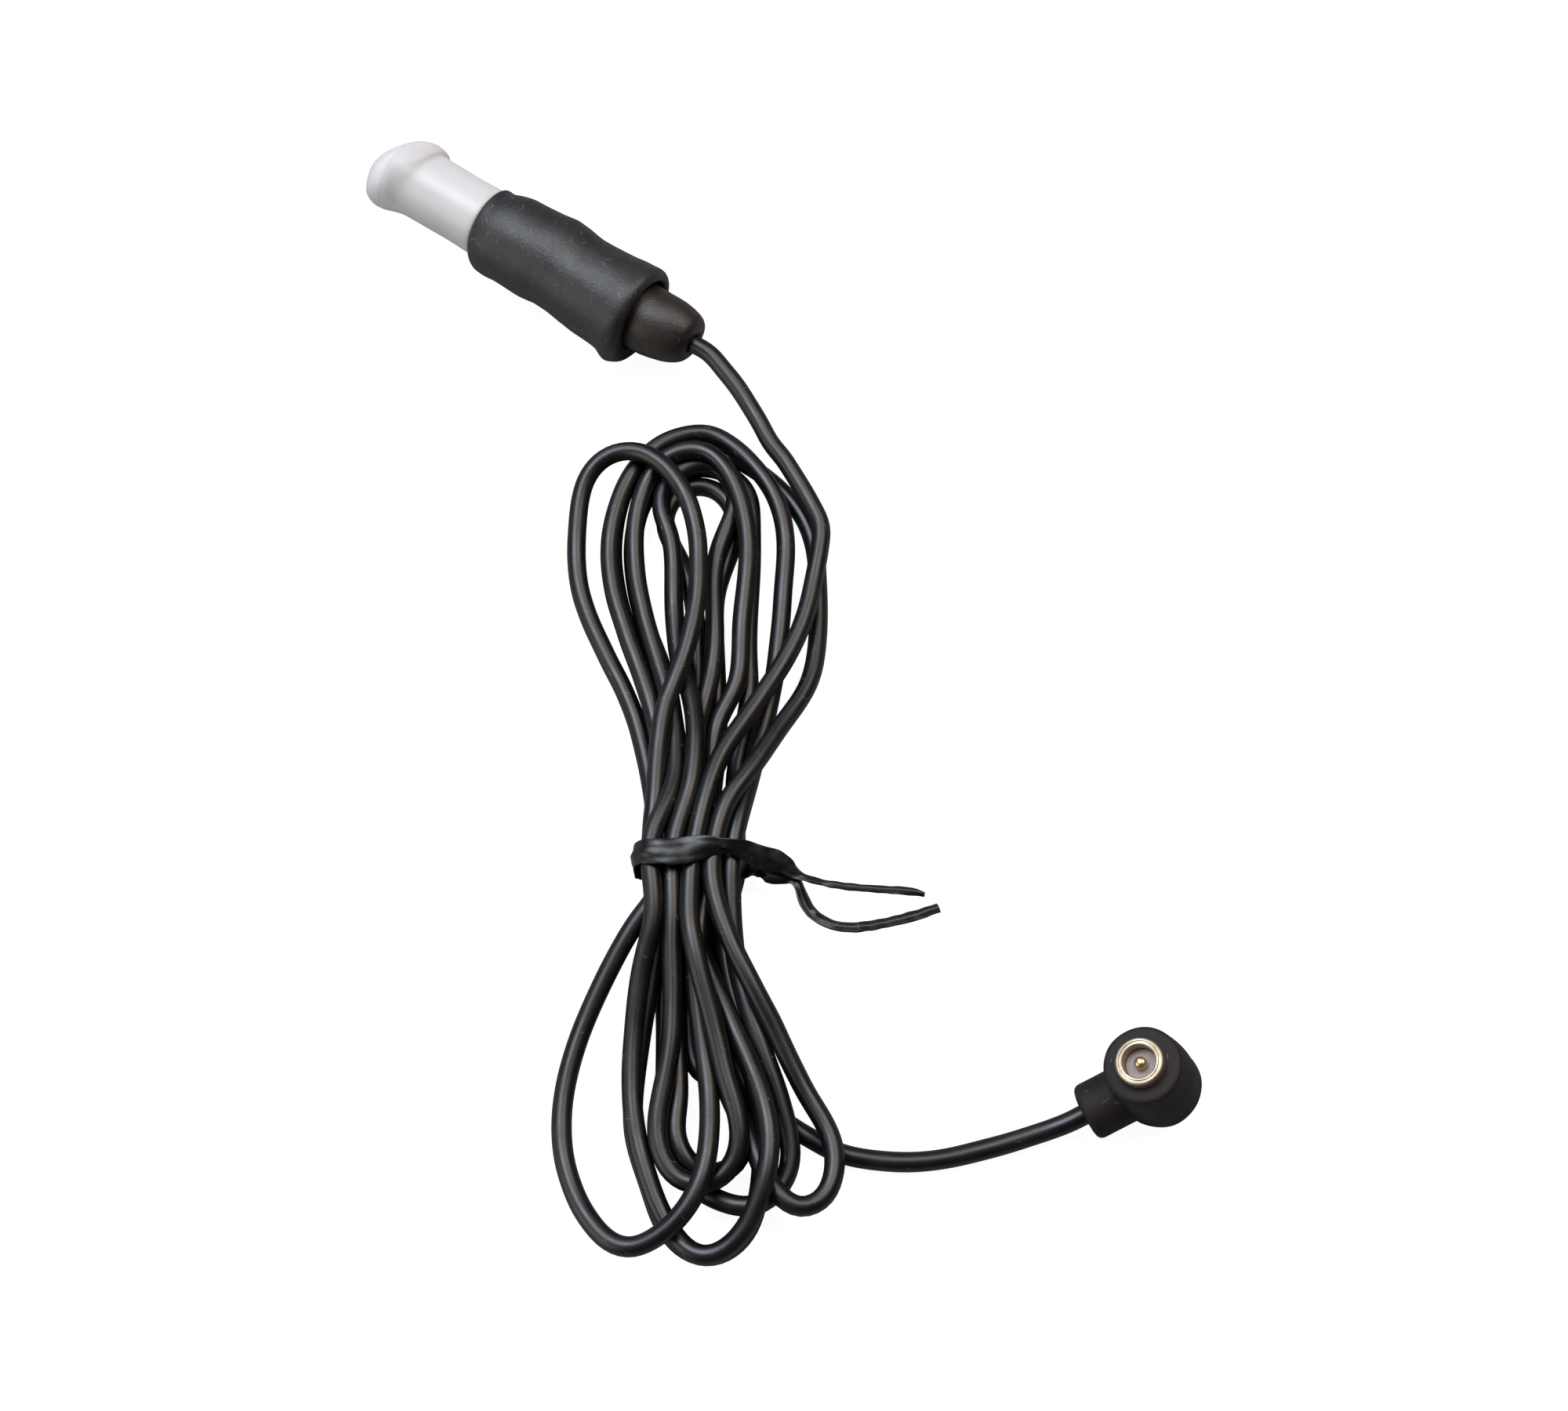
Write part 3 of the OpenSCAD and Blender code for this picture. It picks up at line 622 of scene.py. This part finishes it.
def settled(route, loose, rounds=8, steps=30):
    """The cord at rest, worked out in the hank's frame: the line closest to its route whose bending
    energy, the sum of squared second differences, is small, and that keeps a cord's thickness from
    itself, the floor and the tie. Each round finds the pairs of points that lie close, and solves the
    equations of the stiff line again for every step. Each pair and each wall keeps the push that it
    still lacks from one step to the next."""
    route = (route - HANK_AT) @ HANK_FRAME
    n = len(route)
    k = np.arange(n - 2)
    second = np.zeros((n - 2, n))
    second[k, k], second[k, k + 1], second[k, k + 2] = 1, -2, 1
    between = np.linalg.norm(np.diff(route, axis=0), axis=1)
    bend = second.T @ second / between.mean() ** 4
    weight = (END_PULL * ~loose)[:, None] + ROUTE_PULL
    stiff = [much * bend for much in STIFFNESS]
    wish = route * weight
    wish[:, 2] -= WEIGHT * loose
    wish[:, 0] += stiff[0] @ route[:, 0]
    wish[:, 1] += stiff[1] @ route[:, 1]
    away = np.abs(route[:, 1])
    tied = away < WAIST_HALF
    open_side = FAR * ~tied
    ground = np.where(away < STRIP_HALF, TIE_T, 0.0) + CORD_D / 2
    low = np.stack([WAIST_LEFT - open_side, np.full(n, -FAR), ground], 1)
    high = np.stack([WAIST_RIGHT + open_side, np.full(n, FAR), WAIST_TOP + open_side], 1)
    walled = np.stack([tied, tied, np.ones(n)], 1)
    near = NEXT_ALONG * n / between.sum()
    line, wall_push = route.copy(), np.zeros((n, 3))
    kept, kept_push = np.zeros(0, int), np.zeros((0, 3))
    for _ in range(rounds):
        size = (line**2).sum(1)
        i, j = np.nonzero(size[:, None] + size - 2 * line @ line.T < (CORD_D + PAIR_REACH) ** 2)
        i, j = i[j - i > near], j[j - i > near]
        pair = i * n + j
        push = np.zeros((len(pair), 3))
        if len(kept):
            at = np.clip(np.searchsorted(kept, pair), 0, len(kept) - 1)
            push[kept[at] == pair] = kept_push[at[kept[at] == pair]]
        joined = np.zeros((n, n))
        for a, b, sign in ((i, i, 1), (j, j, 1), (i, j, -1), (j, i, -1)):
            np.add.at(joined, (a, b), sign)
        flat, up = (
            np.linalg.inv(stiff[c] + np.diag(weight[:, c] + walled[:, c]) + joined) for c in (0, 2)
        )
        for _ in range(steps):
            gap = line[j] - line[i] + push
            length = np.linalg.norm(gap, axis=1)[:, None] + 1e-9
            way = gap / length * (0.5, 0.5, 1)
            way /= np.linalg.norm(way, axis=1)[:, None] + 1e-9
            push = -way * np.maximum(CORD_D - length, 0)
            freed = line + wall_push
            held = np.clip(freed, low, high)
            wall_push = freed - held
            want = gap - 2 * push
            for c in range(3):
                pull = np.bincount(j, want[:, c], n) - np.bincount(i, want[:, c], n)
                wall = walled[:, c] * (held - wall_push)[:, c]
                line[:, c] = (flat, flat, up)[c] @ (wish[:, c] + pull + wall)
        kept, kept_push = pair, push
    return line @ HANK_FRAME.T + HANK_AT


def cord_route():
    """The whole cord in even steps, settled between its two free ends."""
    hank = from_hank([point for turn_points in HANK for point in turn_points])
    route = smooth_line(np.vstack([LEAD_IN, hank, LEAD_OUT]), ROUTE_STEP)
    run = np.arange(len(route))
    start = np.linalg.norm(route - LEAD_IN[-3], axis=1).argmin()
    end = np.linalg.norm(route - LEAD_OUT[2], axis=1).argmin()
    return settled(route, (run > start) & (run < end))


cord_line = smooth_line(cord_route(), TUBE_STEP)
cord_grid = uneven(tube(cord_line, CORD_D / 2), amount=0.025, size=5, seed=3)
cord = piece("cord", cord_grid, cord_vinyl)
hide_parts("cord_lead_socket", "cord_hank", "cord_lead_plug")

# ---- Grip, strain relief and cap

# The way, across and up, to which the grip and the boss are fuller and the cap's head is pushed.
UPPER_LEFT = (0.9, 0.435)
CORNER_WAY = (-0.8, -0.6)
FLOOR_GAP = 0.02


def facing(grid, way):
    """The cosine of the angle about the socket's axis between each point of a grid and a way, given
    across and up."""
    across, up = grid[..., 1], grid[..., 2] - AXIS_Z
    return (across * way[0] + up * way[1]) / (np.hypot(across, up) * math.hypot(*way) + 1e-9)


def about_axis(grid):
    """Where the points of a grid lie by the socket's axis: how far along from the grip's front, the
    direction away from the axis, and how far away."""
    radial = grid - (0, 0, AXIS_Z)
    radial[..., 0] = 0
    radius = np.linalg.norm(radial, axis=-1, keepdims=True)
    return grid[..., 0] - GRIP_X, radial / radius, radius


def grip():
    """A tapered sleeve, a closed profile turned about the axis. Its outside leans: its radius gains a
    lean, given along the length, times the cosine of the angle from the upper left, so that one side is
    fuller. A low bulge sits near its end. It rests flat on the floor."""
    front = rounded(
        [(10, 3.8, 0), (6.2, 3.8, 0.1), (6.2, 4.6, 0.2), (1.2, 4.6, 0.6), (0, 4.18, 0.1), (0.05, 4.5, 0)]
    )
    outside = smooth_line(
        [(0.05, 4.5), (0.35, 4.85), (1.2, 5.15), (2.4, 5.42), (4, 5.56), (7, 5.64), (10, 5.68),
         (13, 5.62), (16, 5.75), (19, 5.95), (20.6, 6.15), (21.8, 6.27), (22.7, 6.1), (23.15, 5.6),
         (GRIP_L, 5.1)],
        0.25,
    )
    back = rounded(
        [(GRIP_L, 5.1, 0), (23.1, 4.5, 0.3), (21.6, 4.3, 0.4), (17, 4.2, 0), (17, 4.15, 0), (16, 4.15, 0),
         (16, 4.65, 0), (11.95, 4.65, 0), (11.95, 3.8, 0), (10, 3.8, 0)]
    )
    grid = from_socket(turned(np.vstack([front, outside[1:-1], back[:-1]]), sides=120))
    along, away, radius = about_axis(grid)
    skin = past(radius, 4.75, 0.4)
    lean = np.interp(
        along,
        [0, 1.5, 4, 8, 10, 12, 14, 16, 20, 21.4, GRIP_L],
        [-0.5, -0.48, -0.16, -0.08, 0.14, 0, -0.3, -0.38, -0.4, -0.55, -0.4],
    )
    bulge = 0.35 * np.exp(-(((along - 21.3) / 0.9) ** 2)) * np.clip(facing(grid, CORNER_WAY), 0, 1) ** 6
    grid = grid + away * skin * (lean * facing(grid, UPPER_LEFT) + bulge)[..., None]
    grid = grid + (uneven(grid, amount=0.045, size=4.5, seed=11) - grid) * skin
    grid[..., 2] = np.maximum(grid[..., 2], FLOOR_GAP)
    return grid


def boss():
    """The moulded boss behind the grip, with its flange inside the grip: a closed profile turned about
    the axis, full at its base and strongly rounded at its end."""
    flange = rounded([(20, 1.15, 0), (12, 1.15, 0.1), (12, 4.6, 0.2), (16, 4.6, 0.2), (16.1, 4.1, 0)])
    outside = smooth_line(
        [(16.1, 4.1), (20, 4.12), (23.2, 4.15), (25, 4.12), (26.5, 4.0), (28, 3.72), (29.2, 3.3),
         (29.9, 2.85), (30.3, 2.2), (30.4, 1.6)],
        0.25,
    )
    bore = rounded([(30.4, 1.6, 0), (30.1, 1.2, 0.15), (29.6, 1.15, 0), (20, 1.15, 0)])
    grid = from_socket(turned(np.vstack([flange, outside[1:-1], bore[:-1]])))
    along, away, radius = about_axis(grid)
    skin = past(radius, 1.6, 0.8) * past(along, 17, 4)[..., None]
    lean = np.interp(along, [24, 25, 27, 28.5, 30.4], [-0.22, -0.2, 0, 0.1, 0.3])
    grid = grid + away * skin * (lean * facing(grid, UPPER_LEFT))[..., None]
    return grid + (uneven(grid, amount=0.05, size=4, seed=12) - grid) * skin


def cap():
    """A thin tube that flares in an S-curve into a solid rounded head. The head is pushed askew: points
    past the tube move along the axis by up to a third of their height towards the upper left."""
    tube_end = -0.1
    inside = rounded([(-13.2, 0, 0), (-13.2, 3.85, 0.5), (tube_end, 3.85, 0.08), (tube_end, 4.12, 0)])
    outside = smooth_line(
        [(tube_end, 4.12), (-0.15, 4.25), (-3, 4.27), (-6, 4.28), (-9.2, 4.32), (-10.2, 4.46),
         (-11, 4.8), (-11.8, 5.06), (-12.7, 5.15), (-13.4, 5.0), (-14.1, 4.68), (-14.8, 4.05),
         (-15.5, 3.2), (-16.2, 2.2), (-16.65, 1.2), (-CAP_L, 0)],
        0.2,
    )
    grid = from_socket(turned(np.vstack([inside, outside[1:]]), sides=128))
    forward = GRIP_X - grid[..., 0]
    across, up = grid[..., 1], grid[..., 2] - AXIS_Z
    askew = np.interp(forward, [8.5, 10, 11, 13], [0, 0.2, 0.32, 0.32])
    shell = np.maximum(past(np.hypot(across, up), 3.9, 0.3), past(forward, 13.6, 0.8))
    grid[..., 0] += askew * shell * (UPPER_LEFT[0] * across + UPPER_LEFT[1] * up)
    return uneven(grid, amount=0.03, size=6, seed=14)


grip_piece = piece("grip", grip(), grip_rubber, closed_rows=True)
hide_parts("grip_sleeve")
boss_piece = piece("boss", boss(), boss_vinyl, closed_rows=True)
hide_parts("strain_relief")
cap_piece = piece("cap_shell", cap(), cap_milky, body="cap", sharp=60)
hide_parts("protective_cap")

# ---- Plug


def plug_body():
    """The round housing: back dome, side, soft-edged face and the stepped well for the ring, turned
    about the plug's axis."""
    dome_edge = 3.6
    r = np.linspace(0, dome_edge, 14)[:, None]
    dome = np.hstack([BACK_R - np.sqrt(BACK_R**2 - r**2), r, 0 * r])
    profile = rounded(
        dome.tolist()
        + [
            (1.7, 4.5, 0.7), (6.4, 4.5, 1.2), (10.85, 4.16, 0.55), (10.85, 2.42, 0.1), (9, 2.42, 0),
            (9, 3.25, 0), (6.6, 3.25, 0), (6.6, 2.2, 0), (3.2, 2.2, 0), (3.2, 0, 0),
        ]
    )
    return from_plug(turned(profile, axis="z"))


def plug_arm():
    """The short arm: a closed profile with a rounded end and the cord's bore, turned about the arm's
    axis."""
    profile = rounded(
        [
            (5, 1.15, 0), (ARM_REACH, 1.15, 0.1), (ARM_REACH, 3.1, 0.9), (2.4, 3.1, 0), (2.4, 1.7, 0),
            (5, 1.7, 0), (5, 1.15, 0),
        ]
    )
    return from_plug(turned(profile[:-1]) + (0, 0, ARM_H))


body_grid = uneven(plug_body(), amount=0.04, size=4, seed=21)
arm_grid = uneven(plug_arm(), amount=0.04, size=4, seed=22)
plug_piece = piece("plug_shell", body_grid, plug_vinyl)
arm_piece = piece("plug_arm", arm_grid, plug_vinyl, closed_rows=True)
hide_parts("plug_housing")
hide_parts("plug_housing")

# ---- Tie

# Half the thickness of the strip, and how much the wire inside adds to it and over what width.
RIBBON_T, RIDGE_T, RIDGE_W = 0.16, 0.26, 0.32


def ribbon(points, step=0.3, sides=24):
    """A flat strip with a wire along its middle. Each point gives place, width and the way its face
    looks. The section is a flattened oval with a ridge in its middle, carried along the smooth line."""
    line = smooth_line(points, step)
    centre, width, face = line[:, :3], line[:, 3:4], line[:, 4:7]
    along = np.gradient(centre, axis=0)
    along /= np.linalg.norm(along, axis=1)[:, None]
    side = np.cross(along, face)
    side /= np.linalg.norm(side, axis=1)[:, None]
    face = np.cross(side, along)
    angle = TAU * np.arange(sides) / sides
    wide = np.sign(np.cos(angle)) * np.abs(np.cos(angle)) ** 0.7 * width / 2
    thick = np.sin(angle) * (RIBBON_T + RIDGE_T * np.exp(-((wide / RIDGE_W) ** 2)))
    return capped(centre[:, None] + wide[..., None] * side[:, None] + thick[..., None] * face[:, None])


# Across, along and up in the hank's frame, the width, and the direction of the face.
TIE = [
    (25.6, -4.4, 2.9, 0.5, 0, 0.3, 1), (24.4, -4.1, 2.9, 1.0, 0, 0.3, 1),
    (19.6, -3.7, 2.9, 1.1, 0, 0.5, 1), (15.3, -3.2, 2.9, 1.1, 0, 0.6, 1),
    (13.5, -2.8, 3, 1.2, 0.2, 0.9, 0.6), (11.6, -2.3, 3.6, 1.6, 0.3, 0.4, 1),
    (10.1, -1.5, 4.6, 2.2, 0, -0.1, 1), (8.3, -1.1, 5.7, 2.5, 0.1, -0.2, 1),
    (6.9, -1.1, 6.9, 2.5, 0.4, -0.3, 0.8), (5.6, -0.9, 8.3, 2.2, 0.5, -0.7, 0.8),
    (3.8, -0.8, 9.05, 1.9, 0.2, -0.8, 0.8), (1.1, -1, 9.3, 2.6, 0.1, -0.3, 1),
    (-1, -1.4, 9.3, 3.1, 0, 0, 1), (-3.1, -1.5, 9.3, 2.9, -0.1, 0, 1),
    (-5, -1.3, 8.8, 2.8, -0.5, 0, 0.9), (-6.2, -1.2, 7.2, 2.7, -1, 0, 0.3),
    (-6.3, -1.5, 4.9, 2.8, -1, 0, 0), (-6.2, -1.2, 2.6, 2.6, -1, 0, -0.2),
    (-5.2, -0.9, 0.9, 2.4, -0.6, 0, -0.8), (-3.4, -0.7, 0.45, 2.4, 0, 0, -1),
    (0, -0.6, 0.42, 2.4, 0, 0, -1), (3.9, -0.5, 0.45, 2.4, 0, 0, -1),
    (5.9, -0.9, 1.1, 2.3, 0.6, 0, -0.8), (6.9, -1.7, 2.4, 2.1, 0.5, -0.8, 0),
    (8.2, -2.3, 3.2, 1.9, 0, -0.7, 0.8), (9.8, -2.4, 3.3, 1.8, 0, -0.4, 0.9),
    (11.1, -2.7, 3.1, 1.5, 0.4, 0.2, 1), (11.9, -3.8, 2.9, 1.7, 0.7, 0.4, 0.8),
    (12.5, -5.5, 2.9, 2, 0.6, 0.5, 0.9), (14, -7.2, 2.9, 1.6, 0.3, 0.5, 0.9),
    (17, -8.15, 2.9, 1.3, 0, 0.3, 1), (20.4, -7.8, 2.9, 1.3, 0, 0.3, 1),
    (23.9, -7, 2.9, 1.3, 0, 0.3, 1), (27.1, -5.9, 2.9, 1.3, 0, 0.3, 1),
]


def tie():
    """The tie as one strip from tail to tail, crinkled."""
    points = np.array(TIE, float)
    points[:, :3] = from_hank(points[:, :3])
    points[:, 4:7] = points[:, 4:7] @ HANK_FRAME.T
    return uneven(ribbon(points), amount=0.05, size=1.6, seed=31)


tie_piece = piece("tie", tie(), tie_plastic, sharp=60)
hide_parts("twist_tie")

# ---- Floor and light

FLOOR_HALF = 1.5
PAPER_TONE = (0.3, 0.3, 0.3)
PAPER_GLOW = 0.95
ROOM_TONE = (0.9, 0.93, 1.0)
ROOM_LEVEL = 0.05
MIDDLE = (0.0515, -0.0385, 0)


def backdrop():
    """A pale floor that looks white behind the object and keeps its shadow."""
    mesh = bpy.data.meshes.new("floor")
    corners = [(x * FLOOR_HALF, y * FLOOR_HALF, 0) for x, y in ((-1, -1), (1, -1), (1, 1), (-1, 1))]
    mesh.from_pydata(corners, [], [(0, 1, 2, 3)])
    floor = bpy.data.objects.new("floor", mesh)
    scene.collection.objects.link(floor)
    material = bpy.data.materials.new("white_paper")
    material.use_nodes = True
    tree = material.node_tree
    shader = tree.nodes["Principled BSDF"].inputs
    shader["Base Color"].default_value = (*PAPER_TONE, 1)
    shader["Roughness"].default_value = 0.9
    shader["Specular IOR Level"].default_value = 0.1
    rays = add(tree, "LightPath").outputs
    seen = calc(tree, "MAXIMUM", rays["Is Camera Ray"], rays["Is Transmission Ray"])
    shader["Emission Color"].default_value = (1, 1, 1, 1)
    tree.links.new(calc(tree, "MULTIPLY", seen, PAPER_GLOW), shader["Emission Strength"])
    mesh.materials.append(material)


def softbox(name, place, size, power, colour):
    """A square area light that looks at the object's middle."""
    light = bpy.data.lights.new(name, "AREA")
    light.size = size
    light.energy = power
    light.color = colour
    lamp = bpy.data.objects.new(name, light)
    lamp.location = place
    lamp.rotation_euler = turn_to(place, MIDDLE)
    scene.collection.objects.link(lamp)


backdrop()
softbox("window", (-0.26, -0.01, 0.6), size=0.36, power=3.3, colour=(0.82, 0.89, 1.0))
softbox("ceiling", (0.15, 0.26, 0.585), size=0.36, power=2.0, colour=(1.0, 0.87, 0.75))
softbox("sky", (-0.457, 0.236, 0.4), size=0.4, power=0.5, colour=(0.72, 0.82, 1.0))
softbox("front", (-0.268, -0.488, 0.2), size=0.4, power=0.9, colour=(1.0, 0.94, 0.84))
world = bpy.data.worlds.new("room")
world.use_nodes = True
room = world.node_tree.nodes["Background"].inputs
room["Color"].default_value = (*ROOM_TONE, 1)
room["Strength"].default_value = ROOM_LEVEL
scene.world = world
scene.view_settings.view_transform = "Standard"
